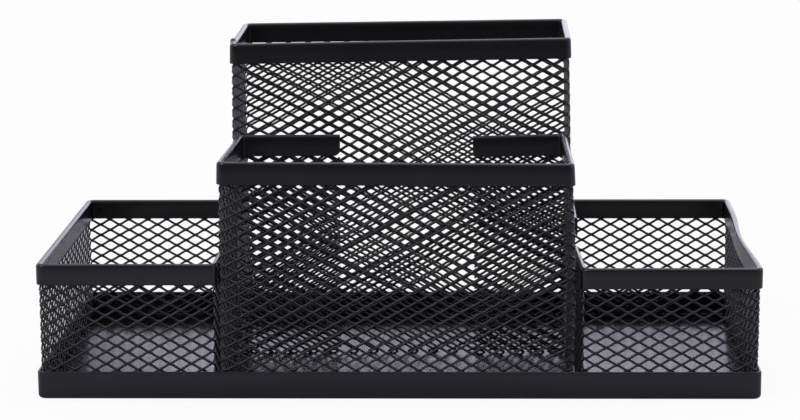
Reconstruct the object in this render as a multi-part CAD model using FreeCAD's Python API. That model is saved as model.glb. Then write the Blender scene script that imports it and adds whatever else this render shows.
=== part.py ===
"""Desk organizer of black expanded steel mesh: low trays either side of a front cup and a taller rear cup.

A pressed pan carries four bent mesh walls. Each wall is one strip of mesh, and its top edge is bound by a
rim, a strip of sheet folded over it. The rear cup is closed. The front cup and the trays are open C shapes,
whose ends turn into flanges: the front cup's lie flat against the rear cup, and the trays' stand by its sides.

Frame: X to the right, Y to the back, Z up, origin at the middle of the pan's underside. Millimetres.
"""

import FreeCAD
import Part
import math
import os

from FreeCAD import Vector

# The pressed pan: a flat floor and an upright band, whose top edge is a folded hem
pan_width = 205.0
pan_depth = 103.0
pan_height = 8.0
pan_floor = 0.6
pan_band = 0.8
pan_corner_radius = 2.5
pan_foot_chamfer = 1.0
pan_hem_chamfer = 0.25

# Heights from the table to the top of each rim
tray_height = 38.0
front_cup_height = 67.5
rear_cup_height = 96.0

# Plan: the cups are equally wide, and the rear cup's front wall divides them
cup_width = 99.0
divider_y = 2.0
flange_length = 29.0
tray_gap = 1.8

# The mesh: its diamonds are two and a half times the size of the real ones, with the same share of open area
mesh_thickness = 0.8
mesh_bend_radius = 2.0
mesh_margin = 0.8
layer_gap = 0.04
diamond_length = 15.0
diamond_height = 8.3
strand_width = 1.8

# The rims: sheet folded over the mesh's top edge
rim_sheet = 0.4
rim_height = 5.8
rim_fold_chamfer = 0.45
rim_end_radius = 1.8
rim_joint_gap = 0.4
rim_joint_setback = 6.0

# Fit of the mesh in a rim's slot and inside the pan's band, on each side
side_clearance = 0.1

PARTS_FOLDER = "parts"
UP = Vector(0, 0, 1)
TOLERANCE = 1e-3

# Worked out from the sizes above
half_mesh = mesh_thickness / 2
rim_slot = mesh_thickness + 2 * side_clearance
rim_thickness = rim_slot + 2 * rim_sheet
bend_radius = mesh_bend_radius - half_mesh
# from the pan's outer face to the middle of the mesh that stands inside its band
pan_to_mesh = pan_band + side_clearance + half_mesh
# between the middles of two meshes that lie side by side, with one leaf of a rim between them
mesh_to_mesh = mesh_thickness + 2 * side_clearance + rim_sheet

# Where the middles of the mesh walls stand
outer_x = pan_width / 2 - pan_to_mesh
outer_y = pan_depth / 2 - pan_to_mesh
cup_x = cup_width / 2 - half_mesh
divider_mid_y = divider_y + half_mesh
front_flange_y = divider_mid_y - mesh_to_mesh
tray_flange_x = cup_x + mesh_to_mesh + tray_gap


def placement(origin, x_axis, y_axis):
    """The matrix that carries a shape to this origin, with its X and Y along these level axes."""
    return FreeCAD.Matrix(
        x_axis.x, y_axis.x, 0, origin.x,
        x_axis.y, y_axis.y, 0, origin.y,
        0, 0, 1, origin.z,
        0, 0, 0, 1,
    )  # fmt: skip


def outline(points):
    """A closed wire of straight edges through (across, up) points in the XZ plane."""
    corners = [Vector(x, 0, z) for x, z in points]
    return Part.makePolygon([*corners, corners[0]])


def rectangle(left, bottom, right, top):
    """A closed wire in the XZ plane."""
    return outline([(left, bottom), (right, bottom), (right, top), (left, top)])


def bend(before, at, after, radius):
    """Where a bend of this radius at a corner of a line begins, its middle, and where it ends."""
    back = (before - at).normalize()
    ahead = (after - at).normalize()
    half_turn = back.getAngle(ahead) / 2
    reach = radius / math.tan(half_turn)
    middle = (back + ahead).normalize() * (radius / math.sin(half_turn) - radius)
    return at + back * reach, at + middle, at + ahead * reach


class WallLine:
    """The line of a wall in plan, along the middle of its mesh: straight runs joined by round bends."""

    def __init__(self, points, radius, closed=False):
        points = [Vector(x, y, 0) for x, y in points]
        count = len(points)
        turning = range(count) if closed else range(1, count - 1)
        bends = {i: bend(points[i - 1], points[i], points[(i + 1) % count], radius) for i in turning}
        self.runs = []
        edges = []
        for i in range(count if closed else count - 1):
            after = (i + 1) % count
            start = bends[i][2] if i in bends else points[i]
            end = bends[after][0] if after in bends else points[after]
            self.runs.append((start, end))
            edges.append(Part.makeLine(start, end))
            if after in bends:
                edges.append(Part.Arc(*bends[after]).toShape())
        self.wire = Part.Wire(edges)

    def sweep(self, section):
        """The solid that a section makes along the line. Its X points to the right of the way ahead."""
        start, end = self.runs[0]
        ahead = (end - start).normalize()
        placed = section.transformShape(placement(start, ahead.cross(UP), ahead))
        solid = self.wire.makePipeShell([placed], True, False)
        if solid.Volume < 0:
            solid.reverse()
        return solid


def strand_gaps(length, height, lean):
    """The slanted gaps between the strands of one layer, as faces in the XZ plane from a window's corner.

    A whole or half number of diamonds is fitted each way, so that strands cross where they meet the window's
    edges. lean is 1 for strands that rise to the right, and -1 for the others.
    """
    columns = max(round(2 * length / diamond_length), 1) / 2
    rows = max(round(2 * height / diamond_height), 1) / 2
    pitch = length / columns
    slope = height / rows / pitch
    level_width = strand_width / math.sin(math.atan(slope))
    shift = lean * height / slope
    reach = math.ceil(columns + rows) + 1
    gaps = []
    for number in range(-reach, reach):
        left = number * pitch + level_width / 2
        right = (number + 1) * pitch - level_width / 2
        points = [(left, 0), (right, 0), (right + shift, height), (left + shift, height)]
        if max(x for x, _ in points) > 0 and min(x for x, _ in points) < length:
            gaps.append(Part.Face(outline(points)))
    return Part.Face(rectangle(0, 0, length, height)).common(gaps).Faces


def mesh_wall(line, height):
    """A bent strip of expanded mesh, from the pan's floor to the top of its rim's slot.

    Inside a plain margin, each straight run is cut from both faces, down to its middle, between its strands.
    The two layers of strands slant opposite ways, so a diamond is open wherever the cuts meet. A slit parts
    the layers, so that strands pass each other without a seam, and the margin holds them together.
    """
    foot = pan_floor
    top = height - rim_sheet
    wall = line.sweep(rectangle(-half_mesh, foot, half_mesh, top))
    window_height = top - foot - 2 * mesh_margin
    beyond = mesh_margin / 2
    cuts = []
    for start, end in line.runs:
        ahead = (end - start).normalize()
        window_length = (end - start).Length - 2 * mesh_margin
        window_corner = start + ahead * mesh_margin + UP * (foot + mesh_margin)
        in_wall = placement(window_corner, ahead, UP.cross(ahead))
        slit = Part.Face(rectangle(-beyond, -beyond, window_length + beyond, window_height + beyond))
        slit.translate(Vector(0, -layer_gap / 2, 0))
        cuts.append(slit.extrude(Vector(0, layer_gap, 0)).transformShape(in_wall))
        for lean in (1, -1):
            for gap in strand_gaps(window_length, window_height, lean):
                cuts.append(gap.extrude(Vector(0, -lean * mesh_thickness, 0)).transformShape(in_wall))
    return wall.cut(cuts)


def rim(line, height):
    """A strip of sheet folded over the top edge of a wall and open below, with the fold's edges eased."""
    outer = rim_thickness / 2
    slot = rim_slot / 2
    ledge = outer - rim_fold_chamfer
    bottom = height - rim_height
    shoulder = height - rim_fold_chamfer
    ceiling = height - rim_sheet
    section = [
        (outer, bottom),
        (outer, shoulder),
        (ledge, height),
        (-ledge, height),
        (-outer, shoulder),
        (-outer, bottom),
        (-slot, bottom),
        (-slot, ceiling),
        (slot, ceiling),
        (slot, bottom),
    ]
    return line.sweep(outline(section))


def open_rim(line, height):
    """The rim of an open wall, with the lower corners of its cut ends rounded."""
    solid = rim(line, height)
    ends = [end + UP * (height - rim_height) for end in (line.runs[0][0], line.runs[-1][1])]
    across = [
        edge
        for edge in solid.Edges
        if edge.Length < rim_sheet + TOLERANCE
        and any((edge.CenterOfMass - end).Length < rim_thickness / 2 for end in ends)
    ]
    return solid.makeFillet(rim_end_radius, across)


def rounded_slab(width, depth, radius, bottom, top):
    """An upright block with round corners, centred on the Z axis."""
    x = width / 2
    y = depth / 2
    sides = WallLine([(-x, -y), (x, -y), (x, y), (-x, y)], radius, closed=True)
    face = Part.Face(sides.wire)
    face.translate(UP * bottom)
    return face.extrude(UP * (top - bottom))


def edges_at(solid, height):
    """The edges of a solid that lie level at this height."""
    return [
        edge
        for edge in solid.Edges
        if abs(edge.BoundBox.ZMin - height) < TOLERANCE and abs(edge.BoundBox.ZMax - height) < TOLERANCE
    ]


def base_pan():
    """The pressed pan, with the eased bend at its foot and the eased edges of its hem."""
    body = rounded_slab(pan_width, pan_depth, pan_corner_radius, 0, pan_height)
    body = body.makeChamfer(pan_foot_chamfer, edges_at(body, 0))
    inner_width = pan_width - 2 * pan_band
    inner_depth = pan_depth - 2 * pan_band
    hollow = rounded_slab(inner_width, inner_depth, pan_corner_radius - pan_band, pan_floor, pan_height)
    pan = body.cut(hollow)
    return pan.makeChamfer(pan_hem_chamfer, edges_at(pan, pan_height))


def rear_cup_line():
    """Right round the rear cup."""
    corners = [(-cup_x, divider_mid_y), (-cup_x, outer_y), (cup_x, outer_y), (cup_x, divider_mid_y)]
    return WallLine(corners, bend_radius, closed=True)


def rear_rim_line():
    """Round the rear cup between the ends of its rim, which meet on the left side near the front."""
    joint_y = divider_mid_y + rim_joint_setback
    start = (-cup_x, joint_y + rim_joint_gap / 2)
    end = (-cup_x, joint_y - rim_joint_gap / 2)
    corners = [(-cup_x, outer_y), (cup_x, outer_y), (cup_x, divider_mid_y), (-cup_x, divider_mid_y)]
    return WallLine([start, *corners, end], bend_radius)


def front_cup_line():
    """From the left flange, against the rear cup, round the front of the front cup to the right flange."""
    flange_end = cup_x - flange_length
    right = [(cup_x, -outer_y), (cup_x, front_flange_y), (flange_end, front_flange_y)]
    left = [(-x, y) for x, y in reversed(right)]
    return WallLine(left + right, bend_radius)


def tray_line(side):
    """Round a tray, from its front flange to its rear one. side is -1 for the left tray, 1 for the right."""
    flange_end = outer_y - flange_length
    front = [(tray_flange_x, -flange_end), (tray_flange_x, -outer_y), (outer_x, -outer_y)]
    rear = [(x, -y) for x, y in reversed(front)]
    return WallLine([(side * x, y) for x, y in front + rear], bend_radius)


def build():
    """Every piece of the organizer, by the name of its node."""
    pieces = {
        "base_pan": base_pan(),
        "rear_cup_mesh": mesh_wall(rear_cup_line(), rear_cup_height),
        "rear_cup_rim": rim(rear_rim_line(), rear_cup_height),
    }
    open_walls = {
        "front_cup": (front_cup_line(), front_cup_height),
        "left_tray": (tray_line(-1), tray_height),
        "right_tray": (tray_line(1), tray_height),
    }
    for name, (line, height) in open_walls.items():
        pieces[f"{name}_mesh"] = mesh_wall(line, height)
        pieces[f"{name}_rim"] = open_rim(line, height)
    return pieces


os.makedirs(PARTS_FOLDER, exist_ok=True)
for name, piece in build().items():
    solids = piece.Solids
    if len(solids) != 1 or not piece.isValid() or solids[0].Volume <= 0:
        raise ValueError(f"{name} isn't one sound solid")
    solids[0].exportStep(os.path.join(PARTS_FOLDER, f"{name}.step"))
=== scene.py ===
import math

import bmesh
import bpy
from mathutils import Matrix, Vector


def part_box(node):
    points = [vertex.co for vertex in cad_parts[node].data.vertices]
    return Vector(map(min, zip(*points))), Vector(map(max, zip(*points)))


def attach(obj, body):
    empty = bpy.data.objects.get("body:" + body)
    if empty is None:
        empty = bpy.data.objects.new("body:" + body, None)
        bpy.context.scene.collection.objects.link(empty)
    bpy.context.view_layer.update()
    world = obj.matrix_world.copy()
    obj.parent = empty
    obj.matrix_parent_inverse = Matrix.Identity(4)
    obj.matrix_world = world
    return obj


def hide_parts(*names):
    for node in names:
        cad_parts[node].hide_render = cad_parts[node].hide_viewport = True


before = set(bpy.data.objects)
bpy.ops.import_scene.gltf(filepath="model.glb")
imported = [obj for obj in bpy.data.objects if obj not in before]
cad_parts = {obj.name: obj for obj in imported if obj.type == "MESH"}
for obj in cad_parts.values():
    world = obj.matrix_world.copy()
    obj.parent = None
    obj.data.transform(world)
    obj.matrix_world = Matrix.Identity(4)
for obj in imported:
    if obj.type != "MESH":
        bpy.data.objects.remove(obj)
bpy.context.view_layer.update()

MM = 0.001

# Expanded steel mesh: diamonds that lie on their side, joined where two strands cross.
DIAMOND_LENGTH = 6.0 * MM
DIAMOND_HEIGHT = 3.33 * MM
STRAND_WIDTH = 0.72 * MM
STRAND_THICKNESS = 0.63 * MM
STRAND_LEAN = math.radians(-4)      # every strand's face leans out a little from the foot up
JOINT_LENGTH = 1.4 * MM             # of a crossing, along the wall
JOINT_HEIGHT = 0.92 * MM
KNEE_RUN = 0.5                      # where an arm leaves the joint: shares of its run,
KNEE_RISE = 0.43                    # its rise
KNEE_LEAN = 0.5                     # and the lean of its width
WELD_DISTANCE = 0.02 * MM           # within which the arms of two crossings become one strand

# Walls and the strips folded over them. Their places are read from the CAD nodes in model.glb.
WALL_HALF = 0.4 * MM                # from a mesh node's face to its middle
BEND_RADIUS = 1.6 * MM
FLANGE = 29 * MM                    # of a tray's wall, turned back at each end
LEFT_FLANGE = 30.3 * MM             # of the front cup's wall, likewise
RIGHT_FLANGE = 27.4 * MM
RIM_JOINT = 6.0 * MM                # where the rear rim's two ends meet, from its corner
MESH_SEAM = 7.4 * MM                # where the rear cup's mesh is joined into a ring, likewise
RIM_HALF = 0.9 * MM                 # from the middle of a rim to its outer face
RIM_SHEET = 0.4 * MM
RIM_LIP = 0.12 * MM                 # the bevel along a rim's outer lower edge
RIM_END_RADIUS = 1.8 * MM
RIM_GAP = 0.2 * MM                  # half of the gap in the rear rim
CURL_LENGTH = 3.5 * MM              # of the rear rim's last end, which springs up a little
CURL_RISE = 0.9 * MM
CURL_OUT = 0.25 * MM
MESH_UNEVENNESS = 0.12 * MM         # how far the stretched sheet wanders
RIM_UNEVENNESS = 0.05 * MM
WANDER_SCALE = 55.0                 # of the noise that they wander by, per metre
WANDER_SEED = 1.0

# How this piece differs from a perfectly square one. For each wall, how far its top stands
# (rightwards, upwards) from its place, in mm, at the front left, front right, back left, back right.
TOP_CORNERS = {
    "left_tray": ((0.0, 1.0), (0.7, 1.0), (-0.38, 0.3), (0.0, 0.3)),
    "right_tray": ((0.0, -0.3), (0.35, -0.3), (0.0, 0.3), (0.2, 0.3)),
    "front_cup": ((-0.5, 0.6), (-0.4, -0.1), (1.0, -0.2), (-1.2, 0.0)),
    "rear_cup": ((-1.1, -1.5), (0.2, 0.0), (-1.2, -1.15), (0.4, -0.05)),
}
# How much lower a rim's lower edge is than its CAD node's.
RIM_DROP = {
    "left_tray": 0.1 * MM,
    "right_tray": 0.2 * MM,
    "front_cup": 0.6 * MM,
    "rear_cup": 0.35 * MM,
}
BELLY = 0.95 * MM                   # of the cups' side walls, halfway up
LEFT_FOOT = 1.2 * MM                # how far out the front cup's left side stands at its foot
BULGE_START = 0.8                   # shares of a cup's half width: where its sides' bulge begins
BULGE_SPAN = 0.15                   # and over which it comes in
SIDE_BOW = 1.7 * MM                 # how far the right tray's outer side bows inwards
BOW_MIDDLE = -8 * MM                # how far back the middle of the bow is
BOW_HALF = 0.41                     # how far it reaches each way, as a share of the tray's depth
BOW_REACH = 6 * MM                  # and how far in from the outer side
BOW_CLIMB = 1.5                     # the power with which it grows from the foot up
LEFT_SPLAY = 0.6 * MM               # how far a tray's front flange closes in on the cup at its end
RIGHT_SPLAY = 1.3 * MM
FLANGE_REACH = 5 * MM               # from a tray's inner face to where its wall isn't flange
FLANGE_SAG = 0.6 * MM               # how far the front cup's right flange hangs down at its end
FADE = 2 * MM                       # over which a flange's own shift fades out

# The pressed pan.
PAN_CORNER = 2.5 * MM
PAN_BAND = 0.8 * MM
PAN_FLOOR = 0.6 * MM
PAN_FOOT_RADIUS = 1.1 * MM
PAN_COVE_RADIUS = 0.5 * MM
LEAST_RADIUS = 0.05 * MM            # of a corner, however far in its loop is

# How finely round shapes are divided, and which edges stay crisp.
BEND_STEPS = 12                     # in a quarter turn of a wall
RUN_STEP = 3 * MM                   # the longest step along a straight wall
CROWN_STEPS = 12                    # over a rim's top
RIM_END_STEPS = 6
STATION_DIGITS = 8                  # to which two places along a rim count as one
CORNER_STEPS = 8                    # round each corner of the pan
A_HAIR = 1e-4                       # added so that a whole number never rounds down
RIM_CREASE = math.radians(35)
PAN_CREASE = math.radians(40)
ALL_SMOOTH = math.radians(180)

# The powder coat.
STREAK_SCALE = (0.12, 0.12, 1.0)    # draws the scuffs out level
PEEL_SHARE = 0.75                   # of the coat's relief; fine pits make up the rest
RELIEF_DEPTH = 0.03 * MM
DEEP_SHADE = 0.78                   # the darkest clouds, as a share of the colour
WORN_GAIN = 1.9                     # a scuff is the colour times this
WORN_LIFT = 0.004                   # plus this
DUST_COLOUR = (0.34, 0.34, 0.35)
CLOUD_GLOSS = 0.10                  # how much each of these adds to the roughness
PEEL_GLOSS = 0.05
SCUFF_GLOSS = 0.12
DUST_GLOSS = 0.3
LEAST_ROUGHNESS = 0.12
MOST_ROUGHNESS = 0.9

# The camera. Yaw turns it right, pitch turns it down and roll lifts its right side.
CAMERA_PLACE = (0.0229, -0.7601, 0.1919)
CAMERA_YAW = -0.0310
CAMERA_PITCH = 0.1913
CAMERA_ROLL = -0.0071
CAMERA_LENS = 116.56
CAMERA_SENSOR = 36.0
CAMERA_RANGE = 20.0                 # how far it sees

# The studio.
LAMP_AIM = Vector((0, 0, 40 * MM))  # near the middle of the organizer
FLOOR_HALF = 6.0
FLOOR_WHITE = (0.86, 0.86, 0.86)
FLOOR_GLOW = 0.93                   # how far the floor is plain white where it is looked at
# Painted reflection: the grey the coat mirrors of the floor, darker than its white, and painted darker
# still towards the front, round a painted pool of light.
FLOOR_PAINTED_REFLECTION = (0.58, 0.57, 0.66)
PAINTED_SHADE_FADE_START = -0.75            # from here back the painted shade on the mirrored floor grows lighter,
PAINTED_SHADE_FADE_SPAN = 0.45              # over this length,
FLOOR_SHADE = 0.15                  # from this share of its colour
SKY_RIGHT = 0.15                    # how the mirrored sky grows brighter rightwards,
SKY_BACK = 0.8                      # backwards
SKY_UP = 0.6                        # and upwards
SKY_BASE = 0.75                     # its brightness before these are added
SKY_GAIN = 0.8                      # what their sum is multiplied by
SKY_LEAST = 0.22                    # below which it doesn't fall
SKY_LIGHT = 0.55                    # its strength where it only lights
SKY_MIRRORED_TINT = (0.86, 0.835, 1.0)
BLACK = (0.0, 0.0, 0.0)
WHITE = (1.0, 1.0, 1.0)


# ---------------------------------------------------------------- node trees

def opaque(colour):
    return (*colour, 1.0)


def socket_called(sockets, name):
    """The socket with this name that is in use, or the one at this place in the list."""
    if isinstance(name, int):
        return sockets[name]
    return next(s for s in sockets if s.name == name and s.enabled)


class Value:
    """A number socket that takes part in sums. Each operator adds one Math node."""

    def __init__(self, tree, socket):
        self.tree, self.socket = tree, socket

    def math(self, operation, *terms):
        node = self.tree.node("ShaderNodeMath", {"operation": operation}, dict(enumerate(terms)))
        return node["Value"]

    def __add__(self, other):
        return self.math("ADD", self, other)

    def __radd__(self, other):
        return self.math("ADD", other, self)

    def __sub__(self, other):
        return self.math("SUBTRACT", self, other)

    def __rsub__(self, other):
        return self.math("SUBTRACT", other, self)

    def __mul__(self, other):
        return self.math("MULTIPLY", self, other)

    def __rmul__(self, other):
        return self.math("MULTIPLY", other, self)

    def __truediv__(self, other):
        return self.math("DIVIDE", self, other)

    def __rtruediv__(self, other):
        return self.math("DIVIDE", other, self)

    def __mod__(self, other):
        return self.math("MODULO", self, other)

    def __rmod__(self, other):
        return self.math("MODULO", other, self)

    def floor(self):
        return self.math("FLOOR", self)

    def at_most(self, other):
        return self.math("MINIMUM", self, other)

    def at_least(self, other):
        return self.math("MAXIMUM", self, other)


class Made:
    """A node that has been made; its outputs are reached by name."""

    def __init__(self, tree, node):
        self.tree, self.node = tree, node

    def __getitem__(self, name):
        return Value(self.tree, socket_called(self.node.outputs, name))


class Tree:
    """A shader's, world's or modifier's node tree while it is being made."""

    def __init__(self, node_tree):
        self.nodes, self.links = node_tree.nodes, node_tree.links
        self.nodes.clear()

    def node(self, kind, settings=None, sockets=None):
        """A node of this type, with its settings made first, then its sockets' values or links."""
        made = self.nodes.new(kind)
        for name, setting in (settings or {}).items():
            if name == "stops":
                for element, (place, level) in zip(made.color_ramp.elements, setting):
                    element.position = place
                    element.color = (level, level, level, 1.0)
            else:
                setattr(made, name, setting)
        for name, given in (sockets or {}).items():
            socket = socket_called(made.inputs, name)
            if isinstance(given, Value):
                self.links.new(given.socket, socket)
            else:
                socket.default_value = given
        return Made(self, made)

    def noise(self, place, scale, detail, roughness=0.5):
        return self.node("ShaderNodeTexNoise", None, {
            "Vector": place, "Scale": scale, "Detail": detail, "Roughness": roughness})["Fac"]

    def number(self, colour):
        """The brightness of a colour."""
        return self.node("ShaderNodeRGBToBW", None, {"Color": colour})["Val"]

    def ramp(self, level, first, last):
        """The level between two stops, each a (level, result), and flat outside them."""
        shade = self.node("ShaderNodeValToRGB", {"stops": (first, last)}, {"Fac": level})["Color"]
        return self.number(shade)

    def mixed(self, factor, first, second):
        """A colour between two others."""
        return self.node("ShaderNodeMix", {"data_type": "RGBA"},
                         {"Factor": factor, "A": first, "B": second})["Result"]

    def vector_math(self, operation, *terms, **sockets):
        given = {**dict(enumerate(terms)), **sockets}
        return self.node("ShaderNodeVectorMath", {"operation": operation}, given)["Vector"]

    def split(self, vector):
        """The node whose outputs are the vector's X, Y and Z."""
        return self.node("ShaderNodeSeparateXYZ", None, {"Vector": vector})


# ---------------------------------------------------------------- finishes

def shader_tree(name):
    material = bpy.data.materials.new(name)
    material.use_nodes = True
    return material, Tree(material.node_tree)


def powder_coat(name, colour, roughness, grain, specks, scuffs):
    """Satin black powder coat: a fine orange peel, cloudy gloss, faint scuffs and a little dust."""
    material, tree = shader_tree(name)
    place = tree.node("ShaderNodeTexCoord")["Object"]
    clouds = tree.noise(place, scale=45, detail=4, roughness=0.6)
    peel = tree.noise(place, scale=1500, detail=2)
    pits = tree.noise(place, scale=4200, detail=1)

    # Scuffs: short thin level streaks, in a few patches.
    drawn_out = tree.node("ShaderNodeMapping", {"vector_type": "POINT"},
                          {"Vector": place, "Scale": STREAK_SCALE})["Vector"]
    streaks = tree.noise(drawn_out, scale=900, detail=3, roughness=0.6)
    patches = tree.noise(place, scale=30, detail=2)
    scuffed = tree.ramp(streaks, (0.66, 0.0), (0.74, 1.0)) * \
        tree.ramp(patches, (0.52, 0.0), (0.66, 1.0)) * scuffs

    # Dust: a tiny pale dot in a few cells of a coarse cell pattern.
    cells = tree.node("ShaderNodeTexVoronoi", {"feature": "F1"}, {"Vector": place, "Scale": 170})
    dot = tree.ramp(cells["Distance"], (0.016, 1.0), (0.03, 0.0))
    chosen = tree.ramp(tree.number(cells["Color"]), (0.80, 0.0), (0.84, 1.0))
    dust = dot * chosen * specks

    deep = opaque(c * DEEP_SHADE for c in colour)
    worn = opaque(c * WORN_GAIN + WORN_LIFT for c in colour)
    coat = tree.mixed(tree.ramp(clouds, (0.3, 0.0), (0.7, 1.0)), deep, opaque(colour))
    coat = tree.mixed(scuffed.at_most(1.0), coat, worn)
    coat = tree.mixed(dust, coat, opaque(DUST_COLOUR))

    gloss = roughness + (clouds - 0.5) * CLOUD_GLOSS + (peel - 0.5) * PEEL_GLOSS \
        + scuffed * SCUFF_GLOSS + dust * DUST_GLOSS
    gloss = gloss.at_least(LEAST_ROUGHNESS).at_most(MOST_ROUGHNESS)
    relief = peel * PEEL_SHARE + pits * (1 - PEEL_SHARE)
    bump = tree.node("ShaderNodeBump", None, {
        "Strength": grain, "Distance": RELIEF_DEPTH, "Height": relief})["Normal"]
    shader = tree.node("ShaderNodeBsdfPrincipled", None, {
        "Base Color": coat, "Roughness": gloss, "Metallic": 0.0, "Normal": bump, "IOR": 1.5})["BSDF"]
    tree.node("ShaderNodeOutputMaterial", None, {"Surface": shader})
    return material


# ---------------------------------------------------------------- shared making

def linked(name, data):
    obj = bpy.data.objects.new(name, data)
    bpy.context.scene.collection.objects.link(obj)
    return obj


def mesh_object(name, points, faces):
    mesh = bpy.data.meshes.new(name)
    mesh.from_pydata(points, [], faces)
    return linked(name, mesh)


def lofted(name, rings):
    """A piece whose skin runs through these rings of points, with a flat face across each end."""
    count = len(rings[0])
    points = [point for ring in rings for point in ring]
    last = len(points) - count
    faces = [(a + i, a + (i + 1) % count, a + count + (i + 1) % count, a + count + i)
             for a in range(0, last, count) for i in range(count)]
    faces.append(tuple(reversed(range(count))))
    faces.append(tuple(range(last, len(points))))
    return mesh_object(name, points, faces)


def arc(across, up, radius, first, last, steps):
    """Points of an arc about (across, up), from one angle in degrees to another."""
    angles = [math.radians(first + (last - first) * i / steps) for i in range(steps + 1)]
    return [(across + radius * math.cos(a), up + radius * math.sin(a)) for a in angles]


def settled(obj):
    """Turns the object's modifiers into a plain mesh."""
    graph = bpy.context.evaluated_depsgraph_get()
    mesh = bpy.data.meshes.new_from_object(obj.evaluated_get(graph), depsgraph=graph)
    obj.modifiers.clear()
    old, obj.data = obj.data, mesh
    bpy.data.meshes.remove(old)
    mesh.name = obj.name


def closed(obj, crease):
    """Closes the open ends, turns the faces outwards, and keeps edges past this angle crisp."""
    shape = bmesh.new()
    shape.from_mesh(obj.data)
    open_edges = [e for e in shape.edges if e.is_boundary]
    bmesh.ops.holes_fill(shape, edges=open_edges, sides=0)
    bmesh.ops.recalc_face_normals(shape, faces=shape.faces)
    if shape.calc_volume(signed=True) < 0:
        bmesh.ops.reverse_faces(shape, faces=shape.faces)
    shape.to_mesh(obj.data)
    shape.free()
    obj.data.shade_smooth()
    obj.data.set_sharp_from_angle(angle=crease)


def hand_over(obj, node):
    """The finished piece rides on the root body and stands for its CAD node."""
    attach(obj, "root")
    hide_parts(node)


# ---------------------------------------------------------------- small bends

def share(value):
    """The value, kept between 0 and 1."""
    return min(1.0, max(0.0, value))


def corner_shift(name, rightward, backward):
    """The shift at the top of a wall, blended from its four corners."""
    blend = ((1 - rightward) * (1 - backward), rightward * (1 - backward),
             (1 - rightward) * backward, rightward * backward)
    across, up = (sum(part * corner[i] for part, corner in zip(blend, TOP_CORNERS[name])) * MM
                  for i in (0, 1))
    return Vector((across, 0, up))


def side_bulge(place, high, left, right):
    """Moves the left and right side walls of a cup outwards by these amounts."""
    at_side = share((abs(place.x) - BULGE_START * high.x) / (BULGE_SPAN * high.x))
    return Vector((at_side * (right if place.x > 0 else -left), 0, 0))


def flange_shift(place, inner_face, splay, low):
    """Moves a tray's front flange sideways, by the whole splay at its end."""
    at_flange = share((FLANGE_REACH - abs(place.x - inner_face)) / FADE)
    along = share((place.y - low.y) / FLANGE) if place.y < 0 else 0.0
    return Vector((splay * at_flange * along, 0, 0))


# Each wall's own shift at a place, from its rim's box and how far up the place is, from 0 to 1.

def front_cup_shift(place, low, high, climb):
    at_back = share(2 - (high.y - place.y) / FADE)
    along = share((high.x - place.x) / RIGHT_FLANGE) if place.x > 0 else 0.0
    sag = Vector((0, 0, FLANGE_SAG * at_back * along * climb))
    left, right = LEFT_FOOT * (1 - climb ** 2), BELLY * math.sin(math.pi * climb)
    return side_bulge(place, high, left, right) - sag


def rear_cup_shift(place, low, high, climb):
    belly = BELLY * math.sin(math.pi * climb)
    return side_bulge(place, high, belly, belly)


def left_tray_shift(place, low, high, climb):
    return flange_shift(place, high.x, LEFT_SPLAY, low)


def right_tray_shift(place, low, high, climb):
    at_side = share(1 - (high.x - place.x) / BOW_REACH)
    along = share(abs(place.y - BOW_MIDDLE) / (BOW_HALF * (high.y - low.y)))
    bow = SIDE_BOW * at_side * math.cos(along * math.pi / 2) ** 2 * climb ** BOW_CLIMB
    return flange_shift(place, low.x, -RIGHT_SPLAY, low) - Vector((bow, 0, 0))


OWN_SHIFTS = {"left_tray": left_tray_shift, "right_tray": right_tray_shift,
              "front_cup": front_cup_shift, "rear_cup": rear_cup_shift}


def worked_by_hand(obj, wall):
    """Moves a wall and its rim together, as far as this piece is from a perfectly square one."""
    low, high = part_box(wall.rim_node)
    own_shift = OWN_SHIFTS[wall.name]
    for vertex in obj.data.vertices:
        place = vertex.co.copy()
        climb = share(place.z / high.z)
        rightward = share((place.x - low.x) / (high.x - low.x))
        backward = share((place.y - low.y) / (high.y - low.y))
        vertex.co += corner_shift(wall.name, rightward, backward) * climb
        vertex.co += own_shift(place, low, high, climb)


# ---------------------------------------------------------------- wall lines

def turned(corners, radius):
    """Points of a line through the corners, close together where it turns on an arc."""
    corners = [Vector(c) for c in corners]
    points = [corners[0]]

    def run_to(end):
        start = points[-1]
        steps = max(1, math.ceil((end - start).length / RUN_STEP))
        points.extend(start.lerp(end, i / steps) for i in range(1, steps + 1))

    for before, corner, after in zip(corners, corners[1:], corners[2:]):
        coming, going = (corner - before).normalized(), (after - corner).normalized()
        centre = corner + (going - coming) * radius
        run_to(corner - coming * radius)
        for step in range(1, BEND_STEPS + 1):
            turn = math.pi / 2 * step / BEND_STEPS
            points.append(centre + (coming * math.sin(turn) - going * math.cos(turn)) * radius)
    run_to(corners[-1])
    return points


def distances(points):
    """How far along the line each of its points is."""
    along = [0.0]
    for a, b in zip(points, points[1:]):
        along.append(along[-1] + (b - a).length)
    return along


class Wall:
    """One mesh wall: the line it stands on, clockwise as seen from above, and its two CAD nodes."""

    def __init__(self, name, corners):
        self.name = name
        self.mesh_node, self.rim_node = f"{name}_mesh", f"{name}_rim"
        self.is_ring = corners[0] == corners[-1]
        points = turned(corners, BEND_RADIUS)
        self.along = distances(points)
        self.length = self.along[-1]
        curve = bpy.data.curves.new(f"{name}_line", "CURVE")
        curve.dimensions = "3D"
        spline = curve.splines.new("POLY")
        spline.points.add(len(points) - 1)
        for place, point in zip(spline.points, points):
            place.co = (point.x, point.y, 0.0, 1.0)
        self.line = linked(f"{name}_line", curve)


def sides_of(node):
    """The west, east, south and north middle lines of a mesh node's walls."""
    low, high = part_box(node)
    return low.x + WALL_HALF, high.x - WALL_HALF, low.y + WALL_HALF, high.y - WALL_HALF


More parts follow.
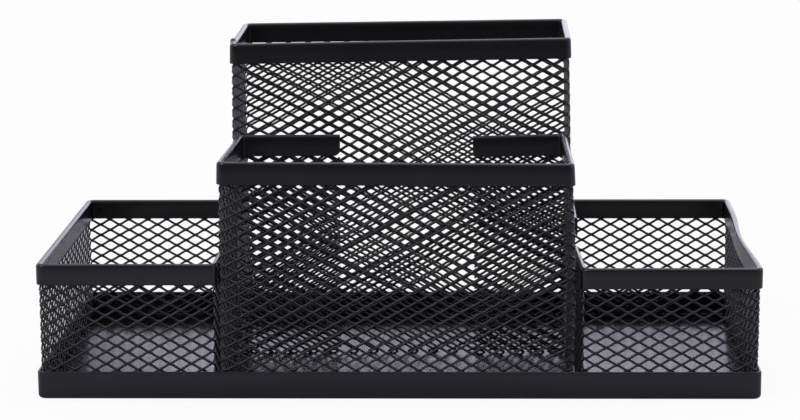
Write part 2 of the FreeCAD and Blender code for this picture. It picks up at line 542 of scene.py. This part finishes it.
def make_walls():
    """Pairs of a wall as its mesh follows it and as its rim does; the rear cup's start apart."""
    west, east, south, north = sides_of("left_tray_mesh")
    left = Wall("left_tray", [(east, south + FLANGE), (east, south), (west, south),
                              (west, north), (east, north), (east, north - FLANGE)])
    west, east, south, north = sides_of("right_tray_mesh")
    right = Wall("right_tray", [(west, north - FLANGE), (west, north), (east, north),
                                (east, south), (west, south), (west, south + FLANGE)])
    west, east, south, north = sides_of("front_cup_mesh")
    front = Wall("front_cup", [(east - RIGHT_FLANGE, north), (east, north), (east, south),
                               (west, south), (west, north), (west + LEFT_FLANGE, north)])
    west, east, south, north = sides_of("rear_cup_mesh")

    def rear_from(setback):
        start = (west, south + setback)
        return Wall("rear_cup", [start, (west, north), (east, north),
                                 (east, south), (west, south), start])

    return [(left, left), (right, right), (front, front),
            (rear_from(MESH_SEAM), rear_from(RIM_JOINT))]


# ---------------------------------------------------------------- trees that follow a wall line

def new_modifier_tree(name, inputs):
    group = bpy.data.node_groups.new(name, "GeometryNodeTree")
    group.interface.new_socket("Geometry", in_out="INPUT", socket_type="NodeSocketGeometry")
    for label, kind in inputs.items():
        group.interface.new_socket(label, in_out="INPUT", socket_type=kind)
    group.interface.new_socket("Geometry", in_out="OUTPUT", socket_type="NodeSocketGeometry")
    return group, Tree(group)


def bent_on_line(tree, geometry, line):
    """Moves geometry from the flat, where it lies as (along, outward, up), onto the line."""
    flat = tree.split(tree.node("GeometryNodeInputPosition")["Position"])
    curve = tree.node("GeometryNodeObjectInfo", {"transform_space": "ORIGINAL"}, {"Object": line})
    sample = tree.node("GeometryNodeSampleCurve", {"mode": "LENGTH"},
                       {"Curves": curve["Geometry"], "Length": flat["X"]})
    outward = tree.vector_math("CROSS_PRODUCT", (0.0, 0.0, 1.0), sample["Tangent"])
    out = tree.vector_math("SCALE", outward, Scale=flat["Y"])
    up = tree.node("ShaderNodeCombineXYZ", None, {"Z": flat["Z"]})["Vector"]
    place = tree.vector_math("ADD", tree.vector_math("ADD", sample["Position"], out), up)
    return tree.node("GeometryNodeSetPosition", None,
                     {"Geometry": geometry, "Position": place})["Geometry"]


def wandering(tree, geometry, amount, seed):
    """Lets the sheet drift a little. Its place sets the drift, so pieces that touch drift together."""
    position = tree.node("GeometryNodeInputPosition")["Position"]
    drift = tree.node("ShaderNodeTexNoise", {"noise_dimensions": "4D"}, {
        "Vector": position, "W": seed, "Scale": WANDER_SCALE, "Detail": 1.0})["Color"]
    centred = tree.vector_math("SUBTRACT", drift, (0.5, 0.5, 0.5))
    offset = tree.vector_math("SCALE", centred, Scale=amount * 2)
    return tree.node("GeometryNodeSetPosition", None,
                     {"Geometry": geometry, "Offset": offset})["Geometry"]


def finished(tree, geometry, finish):
    """The end of a modifier's tree: real geometry in its finish."""
    real = tree.node("GeometryNodeRealizeInstances", None, {"Geometry": geometry})["Geometry"]
    real = tree.node("GeometryNodeSetMaterial", None,
                     {"Geometry": real, "Material": finish})["Geometry"]
    tree.node("NodeGroupOutput", None, {"Geometry": real})


def mesh_wall_tree():
    """Lays copies of one crossing out in staggered rows, bends them onto the line and welds them."""
    group, tree = new_modifier_tree("expanded_mesh_wall", {
        "Line": "NodeSocketObject", "Columns": "NodeSocketInt", "Rows": "NodeSocketInt",
        "Diamond Length": "NodeSocketFloat", "Row Height": "NodeSocketFloat",
        "Foot": "NodeSocketFloat", "Unevenness": "NodeSocketFloat", "Seed": "NodeSocketFloat",
        "Weld Distance": "NodeSocketFloat", "Finish": "NodeSocketMaterial"})
    given = tree.node("NodeGroupInput")
    index = tree.node("GeometryNodeInputIndex")["Index"]
    row = (index / given["Columns"] + A_HAIR).floor()
    column = index - row * given["Columns"]
    # Every other row stands half a diamond further along.
    along = (column + 0.25 + (row % 2) * 0.5) * given["Diamond Length"]
    up = given["Foot"] + (row + 0.5) * given["Row Height"]
    place = tree.node("ShaderNodeCombineXYZ", None, {"X": along, "Z": up})["Vector"]
    points = tree.node("GeometryNodePoints", None,
                       {"Count": given["Columns"] * given["Rows"], "Position": place})["Points"]
    copies = tree.node("GeometryNodeInstanceOnPoints", None,
                       {"Points": points, "Instance": given["Geometry"]})["Instances"]
    sheet = tree.node("GeometryNodeRealizeInstances", None, {"Geometry": copies})["Geometry"]
    sheet = bent_on_line(tree, sheet, given["Line"])
    sheet = wandering(tree, sheet, given["Unevenness"], given["Seed"])
    sheet = tree.node("GeometryNodeMergeByDistance", None,
                      {"Geometry": sheet, "Distance": given["Weld Distance"]})["Geometry"]
    finished(tree, sheet, given["Finish"])
    return group


def strip_tree():
    """Bends one flat strip onto the line."""
    group, tree = new_modifier_tree("strip_on_line", {
        "Line": "NodeSocketObject", "Unevenness": "NodeSocketFloat", "Seed": "NodeSocketFloat",
        "Finish": "NodeSocketMaterial"})
    given = tree.node("NodeGroupInput")
    strip = bent_on_line(tree, given["Geometry"], given["Line"])
    strip = wandering(tree, strip, given["Unevenness"], given["Seed"])
    finished(tree, strip, given["Finish"])
    return group


def grown(obj, group, **inputs):
    """Runs the tree on the object with these inputs and keeps the result."""
    modifier = obj.modifiers.new(group.name, "NODES")
    modifier.node_group = group
    names = {item.name.replace(" ", "_").lower(): item.identifier
             for item in group.interface.items_tree
             if item.item_type == "SOCKET" and item.in_out == "INPUT"}
    for name, given in inputs.items():
        modifier[names[name]] = given
    obj.update_tag()
    settled(obj)


# ---------------------------------------------------------------- expanded mesh

def crossing(name, length, height):
    """Where four strands meet: a thick flat joint and four arms, each to the middle of its strand."""
    arm_run, arm_rise = length / 4, height / 4
    lean_in, lean_up = math.sin(STRAND_LEAN), math.cos(STRAND_LEAN)
    half_width, half_thick = STRAND_WIDTH / 2, STRAND_THICKNESS / 2
    face = Vector((0, lean_up, lean_in)) * half_thick
    edge = Vector((0, -lean_in, lean_up)) * JOINT_HEIGHT / 2
    points = [face, -face, edge, -edge,
              Vector((JOINT_LENGTH / 2, 0, 0)), Vector((-JOINT_LENGTH / 2, 0, 0))]
    front, back, top, bottom, right, left = range(6)
    faces = []
    slope = Vector(((1 - KNEE_RUN) * arm_run, 0, (1 - KNEE_RISE) * arm_rise)).normalized()

    for sx in (1, -1):
        for sz in (1, -1):
            # The arm's section is a diamond, at its knee and at its end.
            across = Vector((-sx * sz * slope.z, 0, slope.x))
            rise = Vector((across.x * lean_up, -lean_in, across.z * lean_up))
            out = Vector((across.x * lean_in, lean_up, across.z * lean_in))
            arm = []
            for run, climb, lean in ((KNEE_RUN, KNEE_RISE, KNEE_LEAN), (1.0, 1.0, 0.0)):
                middle = Vector((sx * run * arm_run, -sz * lean * lean_in * half_width,
                                 sz * climb * arm_rise))
                first = len(points)
                points += [middle + out * half_thick, middle - out * half_thick,
                           middle + rise * half_width, middle - rise * half_width]
                arm.append(range(first, first + 4))
            # Front, back, upper and lower point, at the knee and at the end.
            (front1, back1, upper1, lower1), (front2, back2, upper2, lower2) = arm
            side = right if sx > 0 else left
            tip = top if sz > 0 else bottom
            # Of the upper and lower point, the one on the tip's side and the one on the side's.
            outer1, inner1 = (upper1, lower1) if sz > 0 else (lower1, upper1)
            outer2, inner2 = (upper2, lower2) if sz > 0 else (lower2, upper2)
            for hub, ridge1, ridge2 in ((front, front1, front2), (back, back1, back2)):
                turn_over = (sx * sz > 0) == (hub == front)
                for loop in ((hub, side, inner1, ridge1), (hub, ridge1, outer1, tip),
                             (ridge1, inner1, inner2, ridge2), (ridge1, ridge2, outer2, outer1)):
                    faces.append(tuple(reversed(loop)) if turn_over else loop)
    return mesh_object(name, points, faces)


def make_mesh(wall, group, finish):
    low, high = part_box(wall.mesh_node)
    columns = round(wall.length / DIAMOND_LENGTH)
    rows = round((high.z - low.z) / (DIAMOND_HEIGHT / 2))
    length, row_height = wall.length / columns, (high.z - low.z) / rows
    obj = crossing(f"{wall.name}_expanded_mesh", length, row_height * 2)
    grown(obj, group, line=wall.line, columns=columns, rows=rows, diamond_length=length,
          row_height=row_height, foot=low.z, unevenness=MESH_UNEVENNESS, seed=WANDER_SEED,
          weld_distance=WELD_DISTANCE, finish=finish)
    worked_by_hand(obj, wall)
    closed(obj, ALL_SMOOTH)
    hand_over(obj, wall.mesh_node)


# ---------------------------------------------------------------- folded rims

def rim_section(low, high):
    """Outline of a strip folded over a wall's top edge, as (outward, up), with both legs hanging."""
    crown = high - RIM_HALF
    middle = (low + crown) / 2
    slot = RIM_HALF - RIM_SHEET
    return [(RIM_HALF - RIM_LIP, low), (RIM_HALF, low + RIM_LIP), (RIM_HALF, middle),
            *arc(0.0, crown, RIM_HALF, 0, 180, CROWN_STEPS),
            (-RIM_HALF, middle), (-RIM_HALF, low + RIM_LIP), (-RIM_HALF + RIM_LIP, low),
            (-slot, low), *arc(0.0, crown, slot, 180, 0, CROWN_STEPS // 2), (slot, low)]


def rim_stations(wall, start, end):
    """Where along the line the strip has a section, closer together towards its rounded ends."""
    insets = [RIM_END_RADIUS * (1 - math.cos(math.pi / 2 * i / RIM_END_STEPS))
              for i in range(RIM_END_STEPS + 1)]
    stations = [a for a in wall.along if start + RIM_END_RADIUS < a < end - RIM_END_RADIUS]
    stations += [start + inset for inset in insets] + [end - inset for inset in insets]
    return sorted({round(station, STATION_DIGITS) for station in stations})


def make_rim(wall, group, finish):
    """An open wall's rim has rounded lower corners at its ends; a ring's last end springs up."""
    low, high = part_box(wall.rim_node)
    foot = low.z - RIM_DROP[wall.name]
    gap = RIM_GAP if wall.is_ring else 0.0
    start, end = gap, wall.length - gap
    section = rim_section(foot, high.z)
    rings = []
    for station in rim_stations(wall, start, end):
        lift = spring = 0.0
        if wall.is_ring:
            spring = share(1 - (end - station) / CURL_LENGTH) ** 2
        else:
            to_end = max(0.0, min(station - start, end - station, RIM_END_RADIUS))
            lift = RIM_END_RADIUS - math.sqrt(RIM_END_RADIUS ** 2 - (RIM_END_RADIUS - to_end) ** 2)
        rings.append([(station, out + spring * CURL_OUT, max(up, foot + lift) + spring * CURL_RISE)
                      for out, up in section])
    obj = lofted(f"{wall.name}_folded_rim", rings)
    grown(obj, group, line=wall.line, unevenness=RIM_UNEVENNESS, seed=WANDER_SEED, finish=finish)
    worked_by_hand(obj, wall)
    closed(obj, RIM_CREASE)
    hand_over(obj, wall.rim_node)


# ---------------------------------------------------------------- pan

def rounded_loop(low, high, inset, height):
    """Points round the pan's rectangle with its rounded corners, pulled in by inset, at one height."""
    radius = max(PAN_CORNER - inset, LEAST_RADIUS)
    points = []
    for sx, sy, first in ((1, 1, 0), (-1, 1, 90), (-1, -1, 180), (1, -1, 270)):
        cx = (high.x if sx > 0 else low.x) - sx * (inset + radius)
        cy = (high.y if sy > 0 else low.y) - sy * (inset + radius)
        points += [(x, y, height) for x, y in arc(cx, cy, radius, first, first + 90, CORNER_STEPS)]
    return points


def make_pan(finish):
    """A pressed pan. Its section, as (inset, height), runs from the foot over the hem to the floor."""
    low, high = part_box("base_pan")
    foot, hem, cove = PAN_FOOT_RADIUS, PAN_BAND / 2, PAN_COVE_RADIUS
    middle = (low.z + high.z) / 2
    section = [*arc(foot, low.z + foot, foot, 270, 180, steps=6),
               (0.0, middle),
               *arc(hem, high.z - hem, hem, 180, 0, steps=10),
               (PAN_BAND, middle),
               *arc(PAN_BAND + cove, low.z + PAN_FLOOR + cove, cove, 180, 270, steps=4)]
    obj = lofted("pressed_pan", [rounded_loop(low, high, inset, height) for inset, height in section])
    obj.data.materials.append(finish)
    closed(obj, PAN_CREASE)
    hand_over(obj, "base_pan")


# ---------------------------------------------------------------- studio

def make_camera():
    data = bpy.data.cameras.new("camera")
    data.lens, data.sensor_width, data.clip_end = CAMERA_LENS, CAMERA_SENSOR, CAMERA_RANGE
    level = Vector((math.cos(CAMERA_YAW), -math.sin(CAMERA_YAW), 0.0))
    ahead = Vector((math.sin(CAMERA_YAW) * math.cos(CAMERA_PITCH),
                    math.cos(CAMERA_YAW) * math.cos(CAMERA_PITCH), -math.sin(CAMERA_PITCH)))
    above = level.cross(ahead)
    right = level * math.cos(CAMERA_ROLL) + above * math.sin(CAMERA_ROLL)
    up = above * math.cos(CAMERA_ROLL) - level * math.sin(CAMERA_ROLL)
    camera = linked("camera", data)
    camera.matrix_world = Matrix.Translation(CAMERA_PLACE) @ \
        Matrix((right, up, -ahead)).transposed().to_4x4()
    bpy.context.scene.camera = camera


def make_lamp(name, place, size, power, colour=WHITE):
    """A square softbox turned towards the organizer."""
    data = bpy.data.lights.new(name, "AREA")
    data.shape, data.size, data.energy, data.color = "SQUARE", size, power, colour
    lamp = linked(name, data)
    place = Vector(place)
    lamp.matrix_world = Matrix.Translation(place) @ \
        (place - LAMP_AIM).to_track_quat("Z", "Y").to_matrix().to_4x4()
    lamp.visible_camera = False


def make_floor():
    """A white table. Mirrored in the coat it is painted greyer, and darkest far in front: painted
    shade.
    """
    floor = mesh_object("floor", [(x * FLOOR_HALF, y * FLOOR_HALF, 0)
                                  for x, y in ((-1, -1), (1, -1), (1, 1), (-1, 1))], [(0, 1, 2, 3)])
    material, tree = shader_tree("white_table")
    path = tree.node("ShaderNodeLightPath")
    place = tree.split(tree.node("ShaderNodeTexCoord")["Object"])
    # Painted pool of light: the mirrored floor's painted shade lifts from the front back towards the
    # organizer.
    lit = ((place["Y"] - PAINTED_SHADE_FADE_START) / PAINTED_SHADE_FADE_SPAN).at_least(FLOOR_SHADE).at_most(1.0)
    mirrored = tree.mixed(lit, opaque(BLACK), opaque(FLOOR_PAINTED_REFLECTION))
    # Glossy rays see the floor in its painted reflection colour, not its white.
    colour = tree.mixed(path["Is Glossy Ray"], opaque(FLOOR_WHITE), mirrored)
    paint = tree.node("ShaderNodeBsdfDiffuse", None, {"Color": colour})["BSDF"]
    glow = tree.node("ShaderNodeEmission", None, {"Color": opaque(WHITE), "Strength": 1.0})
    mix = tree.node("ShaderNodeMixShader", None, {
        0: path["Is Camera Ray"] * FLOOR_GLOW, 1: paint, 2: glow["Emission"]})["Shader"]
    tree.node("ShaderNodeOutputMaterial", None, {"Surface": mix})
    floor.data.materials.append(material)


def make_world():
    """White where it is seen, darker below and in front where it is mirrored, else plain light."""
    world = bpy.data.worlds.new("studio")
    world.use_nodes = True
    bpy.context.scene.world = world
    tree = Tree(world.node_tree)
    path = tree.node("ShaderNodeLightPath")
    heading = tree.split(tree.node("ShaderNodeTexCoord")["Generated"])
    mirrored = (heading["Y"] * SKY_BACK + heading["Z"] * SKY_UP + heading["X"] * SKY_RIGHT
                + SKY_BASE) * SKY_GAIN
    mirrored = mirrored.at_least(SKY_LEAST).at_most(1.0)
    seen = path["Is Camera Ray"].at_least(path["Is Transmission Ray"])
    glossy = path["Is Glossy Ray"]
    level = seen + (1 - seen) * (glossy * mirrored + (1 - glossy) * SKY_LIGHT)
    tint = tree.mixed(glossy * (1 - seen), opaque(WHITE), opaque(SKY_MIRRORED_TINT))
    sky = tree.node("ShaderNodeBackground", None, {"Color": tint, "Strength": level})
    tree.node("ShaderNodeOutputWorld", None, {"Surface": sky["Background"]})


def main():
    pan_coat = powder_coat("pan_powder_coat", colour=(0.0042, 0.0041, 0.0062),
                           roughness=0.18, grain=0.04, specks=0.8, scuffs=0.5)
    rim_coat = powder_coat("rim_powder_coat", colour=(0.0042, 0.0041, 0.0060),
                           roughness=0.22, grain=0.15, specks=0.25, scuffs=0.4)
    mesh_coat = powder_coat("mesh_powder_coat", colour=(0.0050, 0.0049, 0.0068),
                            roughness=0.28, grain=0.15, specks=0.0, scuffs=0.2)

    make_pan(pan_coat)
    mesh_tree, rim_tree = mesh_wall_tree(), strip_tree()
    walls = make_walls()
    for mesh_wall, rim_wall in walls:
        make_mesh(mesh_wall, mesh_tree, mesh_coat)
        make_rim(rim_wall, rim_tree, rim_coat)
    for line in dict.fromkeys(wall.line for pair in walls for wall in pair):
        bpy.data.objects.remove(line)

    make_camera()
    make_floor()
    make_world()
    make_lamp("key_softbox", place=(-1.1, -0.9, 1.3), size=1.0, power=10.0)
    make_lamp("top_softbox", place=(0.2, 0.3, 1.6), size=1.2, power=6.0)
    make_lamp("back_softbox", place=(0.35, 1.7, 0.55), size=1.3, power=5.0, colour=(0.90, 0.88, 1.0))
    bpy.context.scene.view_settings.view_transform = "Standard"


main()
